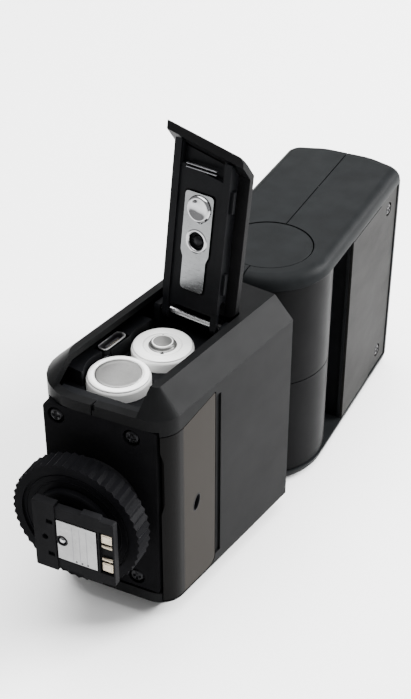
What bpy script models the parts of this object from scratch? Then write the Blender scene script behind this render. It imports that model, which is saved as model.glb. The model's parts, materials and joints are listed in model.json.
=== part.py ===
"""Compact shoe-mount flash with two AA cells, lying on its narrow side, door open.

Frame: +Z up, the body's long axis along Y (shoe at -Y, flash head at +Y), the front face
towards +X, the face with the display towards -X. Z = 0 is the narrow side that it lies on.
The shapes are laid out with Y = 0 at the body's head end and X = 0 on its middle plane, and
place_origin then brings the origin under the middle of the whole. Dimensions are in
millimetres and MM turns them into metres. The parts run in three local frames besides the world: the shoe frame on the
slanted foot end, the door frame on the hinge axis and the head frame on the tilt axis.
"""
import math

import bmesh
import bpy
from mathutils import Matrix, Vector

MM = 0.001
ASSEMBLY = "shoe_flash"

# Body
BODY_WIDTH = 62.4
BODY_HALF_THICK = 17.5
BODY_LENGTH = 52.1
FOOT_SLANT = math.radians(9.7)
BODY_CHAMFER = 5.1
FRONT_CORNER = 6.0
BACK_CORNER = 11.0
WALL = 1.6
GAP = 0.3
ORIGIN_SHIFT = (4.25, -2.5, 0.0)
MID_Z = BODY_WIDTH / 2.0

# Battery bay and door
BAY_HALF = 10.5
BAY_FAR_Y = -10.9
BAY_CORNER = 1.2
LIP_Z = BODY_WIDTH - 5.2
DECK_LOW = 52.4
DECK_Z = 53.8
CELL_RADIUS = 7.25
CELL_NEAR = (-3.0, -38.9)
CELL_FAR = (-1.85, -24.3)
CELL_TOP = 56.4
CELL_LENGTH = 49.5
NUB_RADIUS = 2.8
NUB_HEIGHT = 0.9
HINGE_Y = -15.1
HINGE_Z = BODY_WIDTH - 3.0
DOOR_ANGLE = math.radians(99.0)
DOOR_REACH = 43.5
DOOR_HALF = 10.2
DOOR_SKIN = 1.5
DOOR_EDGE = -2.4
DOOR_TRAVEL = 5.5
PIN_RADIUS = 0.75

# Shoe foot, heights measured outwards from the slanted end plane
WHEEL_LOW = 4.4
WHEEL_HIGH = 9.5
WHEEL_RADIUS = 15.8
WHEEL_RIDGES = 48
FOOT_LOW = 13.1
FOOT_HIGH = 15.1
FOOT_HALF = 9.3
FOOT_REAR = -6.9
FOOT_FRONT = 12.6
NECK_RADIUS = 6.2
SCREW_U = 9.2
SCREW_W = 20.0

# Barrel and head
PIVOT_X = -1.2
PIVOT_Y = 18.1
BARREL_RADIUS = 16.1
BARREL_LOW = 3.7
HEAD_HALF = 16.5
HEAD_REACH = 55.0
HEAD_ROUND = 3.3
CHEEK = 3.4
CAP_RADIUS = 10.85
SLOT_END = 15.8
BULKHEAD = 17.0
HEAD_CORNER = 52.4
STRIP_START = 36.8
STRIP_END = 49.8
NECK_TUBE = 9.4

# Controls on the back face
DIAL_Y = -38.2
DIAL_RADIUS = 6.8
BUTTON_ROW_Y = -29.5
BUTTON_SPREAD = 11.2

BLACK = (0.02, 0.02, 0.022)
CHARCOAL = (0.045, 0.045, 0.05)
BROWN_GREY = (0.13, 0.12, 0.115)
STEEL = (0.62, 0.62, 0.63)
WHITE = (0.85, 0.85, 0.84)
GOLD = (0.75, 0.55, 0.25)


# ---------------------------------------------------------------- scene and helpers

def clear_scene():
    for obj in list(bpy.data.objects):
        bpy.data.objects.remove(obj, do_unlink=True)
    for group in list(bpy.data.collections):
        bpy.data.collections.remove(group)


def make_collection(name):
    group = bpy.data.collections.new(name)
    bpy.context.scene.collection.children.link(group)
    return group


def frame_empty(name, location, rotation):
    empty = bpy.data.objects.new(name, None)
    PARTS.objects.link(empty)
    empty.location = [value * MM for value in location]
    empty.rotation_euler = rotation
    return empty


def add_object(name, mesh, parent=None):
    obj = bpy.data.objects.new(name, mesh)
    PARTS.objects.link(obj)
    obj.parent = parent
    return obj


def from_bmesh(name, bm, parent=None):
    bmesh.ops.recalc_face_normals(bm, faces=bm.faces[:])
    mesh = bpy.data.meshes.new(name)
    bm.to_mesh(mesh)
    bm.free()
    return add_object(name, mesh, parent)


def block(name, low, high, parent=None):
    """A box between two corners."""
    bm = bmesh.new()
    bmesh.ops.create_cube(bm, size=1.0)
    size = [(b - a) * MM for a, b in zip(low, high)]
    centre = [(a + b) * 0.5 * MM for a, b in zip(low, high)]
    bmesh.ops.scale(bm, vec=size, verts=bm.verts)
    bmesh.ops.translate(bm, vec=centre, verts=bm.verts)
    return from_bmesh(name, bm, parent)


def rod(name, radius, start, end, parent=None, steps=32):
    """A round bar between two points."""
    axis = Vector(end) - Vector(start)
    middle = (Vector(start) + Vector(end)) * 0.5 * MM
    turn = Vector((0, 0, 1)).rotation_difference(axis.normalized()).to_matrix().to_4x4()
    bm = bmesh.new()
    bmesh.ops.create_cone(bm, cap_ends=True, segments=steps, radius1=radius * MM, radius2=radius * MM,
                          depth=axis.length * MM, matrix=Matrix.Translation(middle) @ turn)
    return from_bmesh(name, bm, parent)


def rounded_outline(corners, steps=6):
    """Outline points of a polygon whose corners (x, y, radius) are turned into arcs."""
    points = []
    for index, (x, y, radius) in enumerate(corners):
        corner = Vector((x, y))
        back = (Vector(corners[index - 1][:2]) - corner).normalized()
        ahead = (Vector(corners[(index + 1) % len(corners)][:2]) - corner).normalized()
        if radius <= 0.0:
            points.append((x, y))
            continue
        half = back.angle(ahead) / 2.0
        centre = corner + (back + ahead).normalized() * (radius / math.sin(half))
        first = corner + back * (radius / math.tan(half)) - centre
        last = corner + ahead * (radius / math.tan(half)) - centre
        sweep = first.angle_signed(last)
        for step in range(steps + 1):
            spoke = first.copy()
            spoke.rotate(Matrix.Rotation(-sweep * step / steps, 2))
            points.append(tuple(centre + spoke))
    return points


AXES = {
    "Z": Matrix.Identity(4),
    "X": Matrix(((0, 0, 1, 0), (1, 0, 0, 0), (0, 1, 0, 0), (0, 0, 0, 1))),
    "Y": Matrix(((1, 0, 0, 0), (0, 0, -1, 0), (0, 1, 0, 0), (0, 0, 0, 1))),
}


def prism(name, outline, low, high, parent=None, axis="Z"):
    """A flat outline extruded from low to high along an axis.

    The outline is (x, y) for Z, (y, z) for X and (x, z) for Y.
    """
    curve = bpy.data.curves.new(name, "CURVE")
    curve.dimensions = "2D"
    curve.fill_mode = "BOTH"
    curve.extrude = (high - low) * 0.5 * MM
    spline = curve.splines.new("POLY")
    spline.points.add(len(outline) - 1)
    for point, (x, y) in zip(spline.points, outline):
        point.co = (x * MM, y * MM, 0.0, 1.0)
    spline.use_cyclic_u = True
    guide = bpy.data.objects.new(name + "_outline", curve)
    PARTS.objects.link(guide)
    depsgraph = bpy.context.evaluated_depsgraph_get()
    mesh = bpy.data.meshes.new_from_object(guide.evaluated_get(depsgraph))
    bpy.data.objects.remove(guide, do_unlink=True)
    bm = bmesh.new()
    bm.from_mesh(mesh)
    bmesh.ops.remove_doubles(bm, verts=bm.verts[:], dist=0.00001)
    bmesh.ops.dissolve_limit(bm, angle_limit=0.01, verts=bm.verts[:], edges=bm.edges[:])
    middle = (low + high) * 0.5 * MM
    if axis == "Y":
        middle = -middle
    bmesh.ops.transform(bm, matrix=AXES[axis] @ Matrix.Translation((0, 0, middle)), verts=bm.verts[:])
    bpy.data.meshes.remove(mesh)
    return from_bmesh(name, bm, parent)


def loft(name, rings, parent=None):
    """A solid through stacked outlines (points, height) with equal numbers of points."""
    bm = bmesh.new()
    loops = []
    for outline, height in rings:
        loops.append([bm.verts.new((x * MM, y * MM, height * MM)) for x, y in outline])
    count = len(loops[0])
    for lower, upper in zip(loops, loops[1:]):
        for index in range(count):
            following = (index + 1) % count
            bm.faces.new((lower[index], lower[following], upper[following], upper[index]))
    bm.faces.new(loops[0])
    bm.faces.new(loops[-1])
    return from_bmesh(name, bm, parent)


def turned(name, profile, parent=None, closed=False, steps=32):
    """A turned shape from (radius, height) points that run down the outer side."""
    bm = bmesh.new()
    verts = [bm.verts.new((radius * MM, 0.0, height * MM)) for radius, height in profile]
    for first, second in zip(verts, verts[1:]):
        bm.edges.new((first, second))
    if closed:
        bm.edges.new((verts[-1], verts[0]))
    mesh = bpy.data.meshes.new(name)
    bm.to_mesh(mesh)
    bm.free()
    obj = add_object(name, mesh, parent)
    screw = obj.modifiers.new("turn", "SCREW")
    screw.axis = "Z"
    screw.steps = steps
    screw.render_steps = steps
    screw.use_merge_vertices = True
    screw.merge_threshold = 0.00001
    return obj


def round_rims(obj, width, segments, choose):
    """Bevel the sharp edges that choose(first, second) picks."""
    bm = bmesh.new()
    bm.from_mesh(obj.data)
    layer = bm.edges.layers.float.new("bevel_weight_edge")
    for edge in bm.edges:
        first, second = [vert.co / MM for vert in edge.verts]
        if edge.calc_face_angle(0.0) > 0.4 and choose(first, second):
            edge[layer] = 1.0
    bm.to_mesh(obj.data)
    bm.free()
    bevel = obj.modifiers.new("rim", "BEVEL")
    bevel.limit_method = "WEIGHT"
    bevel.width = width * MM
    bevel.segments = segments
    bevel.use_clamp_overlap = False
    return obj


def as_cutter(obj):
    for group in list(obj.users_collection):
        group.objects.unlink(obj)
    CUTTERS.objects.link(obj)
    obj.hide_render = True
    obj.display_type = "WIRE"
    return obj


def combine(target, tool, operation="DIFFERENCE"):
    if tool.name not in CUTTERS.objects:
        as_cutter(tool)
    modifier = target.modifiers.new(operation.lower(), "BOOLEAN")
    modifier.operation = operation
    modifier.solver = "EXACT"
    modifier.object = tool
    return target


def cut(target, *tools):
    for tool in tools:
        combine(target, tool)
    return target


def join(target, *tools):
    for tool in tools:
        combine(target, tool, "UNION")
    return target


def keep(target, tool):
    return combine(target, tool, "INTERSECT")


def finish(obj, colour, roughness, metallic=0.0, round_part=False):
    """Give the object its own Principled material, and smooth shading if it is round."""
    material = bpy.data.materials.new(obj.name + "_finish")
    material.use_nodes = True
    shader = material.node_tree.nodes["Principled BSDF"]
    shader.inputs["Base Color"].default_value = (*colour, 1.0)
    shader.inputs["Roughness"].default_value = roughness
    shader.inputs["Metallic"].default_value = metallic
    obj.data.materials.clear()
    obj.data.materials.append(material)
    if round_part:
        obj.data.shade_smooth()
        obj.data.set_sharp_from_angle(angle=math.radians(35))
    return obj


def cross_recess(name, centre, depth, size, parent, axis="Z"):
    """The cross-shaped hole of a Phillips screw head, as two crossed bars."""
    x, y, z = centre
    arm = size * 0.17
    if axis == "Z":
        first = block(name + "_a", (x - size / 2, y - arm, z - depth), (x + size / 2, y + arm, z + 1), parent)
        second = block(name + "_b", (x - arm, y - size / 2, z - depth), (x + arm, y + size / 2, z + 1), parent)
    else:
        first = block(name + "_a", (x - depth, y - size / 2, z - arm), (x + 1, y + size / 2, z + arm), parent)
        second = block(name + "_b", (x - depth, y - arm, z - size / 2), (x + 1, y + arm, z + size / 2), parent)
    return first, second


# ---------------------------------------------------------------- body shells

def end_y(x, inset=0.0):
    """Y of the slanted foot end at x, moved inwards by inset."""
    return -BODY_LENGTH + x * math.tan(FOOT_SLANT) + inset / math.cos(FOOT_SLANT)


def body_solid(name, inset):
    """The body's outer form, or the same form with all faces moved inwards."""
    half = BODY_HALF_THICK - inset
    far = -inset
    corners = [
        (half, far, 0.0),
        (half, end_y(half, inset), FRONT_CORNER - inset),
        (-half, end_y(-half, inset), BACK_CORNER - inset),
        (-half, far, 0.0),
    ]
    low = inset
    high = BODY_WIDTH - inset
    solid = prism(name, rounded_outline(corners, 8), low, high)
    chamfer = BODY_CHAMFER - inset * (2.0 - math.sqrt(2.0))

    def on_rim(first, second):
        level = abs(first.z - second.z) < 0.01
        at_far_end = abs(first.y - far) < 0.01 and abs(second.y - far) < 0.01
        return level and not at_far_end

    return round_rims(solid, chamfer, 1, on_rim)


def window_outline(grow):
    """Outline (y, z) of the sensor window seen from the front."""
    return rounded_outline([
        (-31.2 + grow, 5.7 - grow, 2.4),
        (-31.2 + grow, 55.4 + grow, 0.4),
        (-43.0, 53.0 + grow, 0.0),
        (-60.0, 53.0 + grow, 0.0),
        (-60.0, 5.7 - grow, 0.0),
    ], 4)


def sensor_oval(name, grow, low, high):
    """The slanted oval sensor hole, run along X."""
    tilt = math.radians(20)
    points = []
    for step in range(20):
        angle = 2.0 * math.pi * step / 20
        across = (1.1 + grow) * math.cos(angle)
        along = (2.2 + grow) * math.sin(angle)
        y = -38.3 + across * math.cos(tilt) + along * math.sin(tilt)
        z = 29.2 - across * math.sin(tilt) + along * math.cos(tilt)
        points.append((y, z))
    return prism(name, points, low, high, axis="X")


def shell_cutters():
    """Tools that both body shells share."""
    opening = prism("bay_opening", rounded_outline([
        (BAY_HALF, BAY_FAR_Y, BAY_CORNER),
        (BAY_HALF, -BODY_LENGTH - 8.0, 0.0),
        (-BAY_HALF, -BODY_LENGTH - 8.0, 0.0),
        (-BAY_HALF, BAY_FAR_Y, BAY_CORNER),
    ]), LIP_Z, BODY_WIDTH + 2.0)
    end_hole = prism("end_plate_hole", rounded_outline([
        (-12.7, -23.3, 1.8), (15.7, -23.3, 0.0), (15.7, 23.3, 0.0), (-12.7, 23.3, 1.8),
    ]), -6.0, 3.0, SHOE)
    neck_hole = rod("neck_hole", NECK_TUBE + 0.4, (PIVOT_X, -4.0, MID_Z), (PIVOT_X, 2.0, MID_Z))
    relief = block("hinge_relief", (-8.2, BAY_FAR_Y - 1.0, 59.0), (8.2, -6.6, BODY_WIDTH - 0.8))
    return [body_solid("body_cavity", WALL), opening, end_hole, neck_hole, relief]


def front_shell(shared):
    shell = body_solid("front_shell", 0.0)
    cut(shell, *shared)
    window_hole = prism("window_hole", window_outline(0.25), 15.1, 20.0, axis="X")
    groove = block("panel_groove", (BODY_HALF_THICK - 0.5, -30.9, 8.0), (20.0, -29.0, 54.2))
    notch = block("seam_notch", (-2.0, -BODY_LENGTH - 2.0, LIP_Z - 1.4), (0.75, -BODY_LENGTH + 0.5, LIP_Z + 1.0))
    cut(shell, window_hole, groove, notch)
    keep(shell, block("front_half", (GAP / 2, -80.0, -5.0), (40.0, 20.0, 80.0)))
    return finish(shell, CHARCOAL, 0.42)


def control_cutters():
    """Holes for the display, the dial, the buttons and the power switch."""
    back = -BODY_HALF_THICK
    inside = back + 3.0
    outside = back - 3.0
    tools = [
        prism("display_recess", rounded_outline([
            (-25.3, 12.7, 1.2), (-25.3, 49.7, 1.2), (-4.7, 49.7, 1.2), (-4.7, 12.7, 1.2),
        ], 3), outside, back + 1.2, axis="X"),
        rod("dial_hole", DIAL_RADIUS + GAP, (inside, DIAL_Y, MID_Z), (outside, DIAL_Y, MID_Z)),
        rod("test_hole", 2.4 + GAP, (inside, DIAL_Y, MID_Z + 15.3), (outside, DIAL_Y, MID_Z + 15.3)),
        block("power_slot", (outside, DIAL_Y - 1.5, MID_Z - 19.3), (inside, DIAL_Y + 1.5, MID_Z - 12.2)),
    ]
    for index in range(3):
        z = MID_Z + (index - 1) * BUTTON_SPREAD
        tools.append(block("button_hole_%d" % (index + 1), (outside, BUTTON_ROW_Y - 2.1, z - 4.1),
                           (inside, BUTTON_ROW_Y + 2.1, z + 4.1)))
    return tools


def back_shell(shared):
    shell = body_solid("back_shell", 0.0)
    cut(shell, *shared)
    cut(shell, *control_cutters())
    keep(shell, block("back_half", (-40.0, -80.0, -5.0), (-GAP / 2, 20.0, 80.0)))
    return finish(shell, CHARCOAL, 0.42)


def sensor_window(shared):
    window = body_solid("sensor_window", 0.0)
    cut(window, shared[0])
    keep(window, prism("window_zone", window_outline(0.0), 15.4, 20.0, axis="X"))
    notch = rod("finger_notch", 32.8, (-15.9, 9.0, -1.3), (-15.9, 9.0, 6.0), SHOE, 96)
    cut(window, notch, sensor_oval("sensor_hole", 0.0, 14.0, 20.0))
    finish(window, BROWN_GREY, 0.3)
    lens = sensor_oval("sensor_lens", -GAP, BODY_HALF_THICK - WALL + 0.1, BODY_HALF_THICK - 0.7)
    return finish(lens, BLACK, 0.1, round_part=True)


def end_plate():
    plate = prism("end_plate", rounded_outline([
        (-12.4, -23.0, 1.5), (15.1, -23.0, 0.6), (15.1, 23.0, 0.6), (-12.4, 23.0, 1.5),
    ], 4), -2.15, -0.35, SHOE)
    cut(plate, rod("plate_neck_hole", NECK_RADIUS + 0.4, (0, 0, -4.0), (0, 0, 2.0), SHOE))
    for index, (side, level) in enumerate(((-1, 1), (1, 1), (1, -1), (-1, -1))):
        spot = (side * SCREW_U, level * SCREW_W)
        cut(plate,
            rod("screw_seat_%d" % (index + 1), 2.1, (*spot, -1.4), (*spot, 2.0), SHOE, 24),
            rod("screw_bore_%d" % (index + 1), 1.2, (*spot, -4.0), (*spot, 2.0), SHOE, 16))
    return finish(plate, CHARCOAL, 0.45)


def end_screws():
    for index, (side, level) in enumerate(((-1, 1), (1, 1), (1, -1), (-1, -1))):
        name = "end_screw_%d" % (index + 1)
        x = side * SCREW_U
        y = level * SCREW_W
        screw = turned(name, [(0.0, -0.4), (1.2, -0.45), (1.75, -0.8), (1.75, -1.1),
                              (0.9, -1.1), (0.9, -5.4), (0.0, -5.9)], SHOE, steps=20)
        screw.location = (x * MM, y * MM, 0.0)
        cut(screw, *cross_recess(name + "_cross", (x, y, -0.4), 0.5, 2.2, SHOE))
        finish(screw, (0.05, 0.05, 0.055), 0.35, 0.8, True)


# ---------------------------------------------------------------- battery bay

def end_bosses():
    """Bosses behind the end plate that take its four screws."""
    bosses = []
    bores = []
    for side in (-1, 1):
        for level in (-1, 1):
            tag = "%s_%s" % ("rear" if side < 0 else "front", "low" if level < 0 else "high")
            spot = (side * SCREW_U, level * SCREW_W)
            bosses.append(rod("boss_" + tag, 2.2, (*spot, -7.2), (*spot, -2.5), SHOE, 24))
            bores.append(rod("boss_bore_" + tag, 1.2, (*spot, -6.6), (*spot, 0.0), SHOE, 16))
    return bosses, bores


def tray_shelf():
    """Step behind the door's free end, in two plates."""
    def plate(name, outer, inner, low, high):
        return prism(name, [
            (10.1, end_y(10.1, outer)), (-5.8, end_y(-5.8, outer)), (-10.1, end_y(-10.1, outer) + 1.5),
            (-10.1, end_y(-10.1, inner) + 0.6), (10.1, end_y(10.1, inner)),
        ], low, high)

    return plate("shelf_wall", 2.7, 4.2, 53.0, LIP_Z - 1.4), plate("shelf_lip", 2.1, 4.2, 54.8, LIP_Z - 0.5)


def tray_openings():
    """Cell bores, room for the door's arms, the pin bore and the wells in the deck."""
    tools = []
    for tag, (x, y) in (("near", CELL_NEAR), ("far", CELL_FAR)):
        tools.append(rod("bore_" + tag, CELL_RADIUS + 0.35, (x, y, 4.9), (x, y, 70.0), None, 48))
    tools.append(block("bore_bridge", (CELL_NEAR[0] - 2.0, CELL_NEAR[1], 4.9),
                       (CELL_FAR[0] + 2.0, CELL_FAR[1], 70.0)))
    tools.append(block("hinge_pocket", (-7.9, -18.0, 55.0), (7.9, -5.0, 70.0)))
    for side, tag in ((-1, "left"), (1, "right")):
        low_x, high_x = sorted((side * 5.3, side * 7.9))
        tools.append(block("arm_pocket_" + tag, (low_x, -18.15, 49.8), (high_x, -11.9, 60.0)))
    tools.append(rod("pin_bore", PIN_RADIUS + GAP, (-12.0, HINGE_Y, HINGE_Z), (12.0, HINGE_Y, HINGE_Z), None, 16))
    tools.append(block("ear_mouth", (-10.2, HINGE_Y - 3.0, HINGE_Z + 1.2), (10.2, HINGE_Y + 3.0, HINGE_Z + 3.0)))
    tools.append(block("ear_back", (-10.4, -2.5, 1.3), (10.4, 6.2, 5.0), DOOR))
    tools.append(block("socket_well", (-12.3, -35.9, 54.2), (-8.9, -27.3, 60.0)))
    tools.append(rod("tray_screw_well", 1.5, (8.4, -22.5, 50.0), (8.4, -22.5, 60.0), None, 16))
    return tools


def battery_tray():
    """Sleeve for both cells with its deck, end shelf, socket ledge, hinge ears and bosses."""
    sleeve = block("battery_tray", (-11.5, -47.0, 4.0), (6.6, -15.8, 53.0))
    deck = prism("tray_deck", [
        (11.3, end_y(11.3, 4.0)), (-5.8, end_y(-5.8, 3.4)), (-13.2, end_y(-13.2, 8.0)), (-13.2, -8.6), (11.3, -8.6),
    ], DECK_LOW, DECK_Z)
    ledge = block("tray_ledge", (-13.2, -44.5, 52.6), (-8.8, -19.0, 57.7))
    screw_boss = rod("screw_boss", 2.6, (8.4, -22.5, 46.0), (8.4, -22.5, DECK_Z), None, 24)
    bosses, bores = end_bosses()
    join(sleeve, deck, *tray_shelf(), ledge, screw_boss, *bosses)
    for side, tag in ((-1, "left"), (1, "right")):
        low_x, high_x = sorted((side * 8.2, side * 9.8))
        post = block("ear_post_" + tag, (low_x, HINGE_Y - 1.9, 53.0), (high_x, HINGE_Y + 1.9, HINGE_Z))
        crown = rod("ear_crown_" + tag, 1.9, (low_x, HINGE_Y, HINGE_Z), (high_x, HINGE_Y, HINGE_Z), None, 24)
        join(sleeve, post, crown)
    cut(sleeve, *tray_openings(), *bores)
    return finish(sleeve, BLACK, 0.5)


def tray_screw():
    screw = turned("tray_screw", [(0.0, 54.9), (1.6, 54.8), (2.1, 54.4), (2.1, 54.05),
                                  (1.2, 54.05), (1.2, 51.0), (0.0, 50.4)], steps=20)
    screw.location = (8.4 * MM, -22.5 * MM, 0.0)
    cut(screw, *cross_recess("tray_screw_cross", (8.4, -22.5, 54.9), 0.4, 2.6, None))
    return finish(screw, (0.3, 0.3, 0.3), 0.35, 0.9, True)


def charge_socket():
    """Metal shell of the small socket beside the cells, open at the top."""
    centre_y = -31.6
    x = -10.6

    def ring(grow, low, high, name):
        return prism(name, rounded_outline([
            (x - 1.3 + grow, centre_y - 3.8 + grow, 0.9), (x + 1.3 - grow, centre_y - 3.8 + grow, 0.9),
            (x + 1.3 - grow, centre_y + 3.8 - grow, 0.9), (x - 1.3 + grow, centre_y + 3.8 - grow, 0.9),
        ], 3), low, high)

    socket = ring(0.0, 54.5, 58.0, "charge_socket")
    cut(socket, ring(0.35, 55.0, 60.0, "socket_mouth"))
    join(socket, block("socket_tongue", (x - 0.3, centre_y - 2.4, 54.8), (x + 0.3, centre_y + 2.4, 57.6)))
    return finish(socket, STEEL, 0.25, 1.0)


def cell(name, place, nub_up):
    """An AA cell with its positive nub up or down."""
    top = CELL_TOP
    low = CELL_TOP - CELL_LENGTH
    if nub_up:
        profile = [(0.0, top + NUB_HEIGHT), (NUB_RADIUS - 0.4, top + NUB_HEIGHT), (NUB_RADIUS, top + NUB_HEIGHT - 0.3),
                   (NUB_RADIUS, top - 0.1), (6.3, top), (CELL_RADIUS - 0.3, top - 0.3), (CELL_RADIUS, top - 1.0),
                   (CELL_RADIUS, low + 0.5), (6.6, low), (0.0, low)]
    else:
        profile = [(0.0, top), (5.3, top), (5.6, top - 0.25), (6.3, top), (CELL_RADIUS - 0.3, top - 0.3),
                   (CELL_RADIUS, top - 1.0), (CELL_RADIUS, low + 0.5), (6.6, low), (NUB_RADIUS, low),
                   (NUB_RADIUS, low - NUB_HEIGHT), (0.0, low - NUB_HEIGHT)]
    body = turned(name, profile, steps=40)
    body.location = (place[0] * MM, place[1] * MM, 0.0)
    return finish(body, WHITE, 0.4, 0.0, True)


def cell_spring():
    """Cone spring under the far cell."""
    turns = 2.5
    steps = 40
    curve = bpy.data.curves.new("cell_spring", "CURVE")
    curve.dimensions = "3D"
    curve.bevel_depth = 0.3 * MM
    curve.bevel_resolution = 2
    curve.use_fill_caps = True
    spline = curve.splines.new("POLY")
    spline.points.add(steps)
    for step in range(steps + 1):
        share = step / steps
        angle = 2.0 * math.pi * turns * share
        radius = 4.6 - 2.0 * share
        spline.points[step].co = (radius * math.cos(angle) * MM, radius * math.sin(angle) * MM,
                                  (5.25 + 1.25 * share) * MM, 1.0)
    spring = bpy.data.objects.new("cell_spring", curve)
    PARTS.objects.link(spring)
    spring.location = (CELL_FAR[0] * MM, CELL_FAR[1] * MM, 0.0)
    return finish_curve(spring)


def finish_curve(spring):
    material = bpy.data.materials.new("cell_spring_finish")
    material.use_nodes = True
    shader = material.node_tree.nodes["Principled BSDF"]
    shader.inputs["Base Color"].default_value = (*STEEL, 1.0)
    shader.inputs["Roughness"].default_value = 0.3
    shader.inputs["Metallic"].default_value = 1.0
    spring.data.materials.append(material)
    return spring


def inner_boards():
    finish(block("cell_contact", (CELL_NEAR[0] - 3.5, CELL_NEAR[1] - 3.5, 5.1),
                 (CELL_NEAR[0] + 3.5, CELL_NEAR[1] + 3.5, 5.55)), STEEL, 0.3, 1.0)
    finish(block("control_board", (-14.5, -43.0, 9.0), (-13.3, -8.0, 50.5)), (0.02, 0.12, 0.05), 0.5)
    finish(block("power_board", (11.4, -40.0, 9.0), (12.6, -8.0, 50.0)), (0.02, 0.12, 0.05), 0.5)


# ---------------------------------------------------------------- door, in the hinge frame

def door_outline(grow_end=0.0):
    """Door outline (x, y) from the hinge: the free end follows the foot slant."""
    slope = math.tan(FOOT_SLANT)
    right_end = -DOOR_REACH + DOOR_HALF * slope - grow_end
    left_end = -DOOR_REACH - DOOR_HALF * slope - grow_end
    return rounded_outline([
        (DOOR_HALF, DOOR_EDGE, 2.0), (DOOR_HALF, right_end, 2.6),
        (-DOOR_HALF, left_end, 0.6), (-DOOR_HALF, DOOR_EDGE, 2.0),
    ], 4)


def chamfer_tool(name, inset, reach):
    """A wedge that takes the top edge off the free end, sheared to the foot slant."""
    drop = BODY_WIDTH - LIP_Z
    top = BODY_WIDTH - HINGE_Z - inset * math.sqrt(2.0)
    tool = prism(name, [
        (-DOOR_REACH + drop, top), (-DOOR_REACH + drop + reach, top + reach),
        (-DOOR_REACH - reach, top + reach), (-DOOR_REACH - reach, top - drop - reach),
    ], -30.0, 30.0, DOOR, "X")
    shear = Matrix.Identity(4)
    shear[1][0] = math.tan(FOOT_SLANT)
    tool.data.transform(shear)
    return tool


def door_skin():
    """Outer skin: a plate whose slanted free end is chamfered and bent down."""
    low = LIP_Z - HINGE_Z + GAP
    top = BODY_WIDTH - HINGE_Z
    side = DOOR_HALF + 4.0
    end = -DOOR_REACH + 1.1
    slope = side * math.tan(FOOT_SLANT)
    skin = prism("door_skin", door_outline(), low, top, DOOR)
    hollow = prism("door_hollow", [
        (side, 12.0), (side, end + slope), (-side, end - slope), (-side, 12.0),
    ], low - 5.0, top - DOOR_SKIN, DOOR)
    cut(hollow, chamfer_tool("hollow_chamfer", DOOR_SKIN, 20.0))
    cut(skin, chamfer_tool("door_chamfer", 0.0, 14.0), hollow)
    return finish(skin, BLACK, 0.4)


def door_frame():
    """Inner frame: centre panel, side rails, end pocket, latch tabs and slotted hinge arms."""
    panel_low = -1.6
    rail_low = -2.1
    inside = BODY_WIDTH - HINGE_Z - DOOR_SKIN - GAP
    slope = math.tan(FOOT_SLANT)
    end = -41.2
    frame = prism("door_frame", [
        (7.5, -2.6), (7.5, end + 7.5 * slope), (-7.5, end - 7.5 * slope), (-7.5, -2.6),
    ], panel_low, inside, DOOR)
    for side, tag in ((-1, "left"), (1, "right")):
        low_x, high_x = sorted((side * 5.8, side * 7.5))
        rail = block("door_rail_" + tag, (low_x, end + 0.8 + side * 7.5 * slope, rail_low), (high_x, -4.0, 0.5), DOOR)
        arm = block("door_arm_" + tag, (low_x, -8.0, -1.9), (high_x, 0.0, 0.9), DOOR)
        tip = rod("door_arm_tip_" + tag, 1.9, (low_x, 0.0, 0.0), (high_x, 0.0, 0.0), DOOR, 24)
        join(frame, rail, arm, tip)
        for index, place in enumerate((-33.0, -13.6)):
            tab_low, tab_high = sorted((side * 7.0, side * 8.2))
            tab = block("latch_tab_%s_%d" % (tag, index), (tab_low, place, -1.2), (tab_high, place + 5.0, -0.2), DOOR)
            join(frame, tab)
    pocket = prism("door_pocket", [
        (5.4, -34.6), (5.4, end + 0.9 + 5.4 * slope), (-5.6, end + 0.9 - 5.6 * slope), (-5.6, -36.4),
    ], -5.0, -0.3, DOOR)
    bed = prism("strip_bed", contact_outline(0.3), -5.0, panel_low + 0.45, DOOR)
    slot = block("hinge_slot", (-12.0, -DOOR_TRAVEL, -PIN_RADIUS - GAP), (12.0, 0.0, PIN_RADIUS + GAP), DOOR)
    slot_low = rod("slot_low", PIN_RADIUS + GAP, (-12.0, -DOOR_TRAVEL, 0.0), (12.0, -DOOR_TRAVEL, 0.0), DOOR, 20)
    slot_high = rod("slot_high", PIN_RADIUS + GAP, (-12.0, 0.0, 0.0), (12.0, 0.0, 0.0), DOOR, 20)
    gap = block("hinge_gap", (-5.5, -2.7, -5.0), (5.5, 5.0, 5.0), DOOR)
    wedge = chamfer_tool("frame_chamfer", DOOR_SKIN + GAP, 14.0)
    cut(frame, pocket, bed, slot, slot_low, slot_high, gap, wedge)
    return finish(frame, (0.012, 0.012, 0.014), 0.45)


def contact_outline(grow):
    """Outline of the door's contact strip: a wide upper part and a narrower lower part."""
    return rounded_outline([
        (3.75 + grow, -30.7 - grow, 0.8), (-3.75 - grow, -30.7 - grow, 0.8), (-3.75 - grow, -16.6 + grow, 0.5),
        (-3.1 - grow, -15.0, 0.5), (-3.1 - grow, -7.4 + grow, 0.9), (3.1 + grow, -7.4 + grow, 0.9),
        (3.1 + grow, -15.0, 0.5), (3.75 + grow, -16.6 + grow, 0.5),
    ], 3)


def door_contact():
    """Bright contact strip that bridges the two cells."""
    strip = prism("door_contact", contact_outline(0.0), -2.0, -1.45, DOOR)
    dome = rod("contact_dome", 2.9, (0.2, -27.2, -2.35), (0.2, -27.2, -1.8), DOOR, 28)
    join(strip, dome)
    well = rod("contact_well", 2.1, (0.2, -27.2, -3.0), (0.2, -27.2, -2.1), DOOR, 28)
    hole = rod("contact_hole", 2.2, (0.2, -19.5, -3.0), (0.2, -19.5, 0.0), DOOR, 24)
    cut(strip, well, hole)
    return finish(strip, STEEL, 0.2, 1.0)


def hinge_pin():
    pin = rod("hinge_pin", PIN_RADIUS, (-9.6, 0.0, 0.0), (9.6, 0.0, 0.0), DOOR, 20)
    return finish(pin, STEEL, 0.25, 1.0, True)


# ---------------------------------------------------------------- shoe foot and lock wheel

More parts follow.
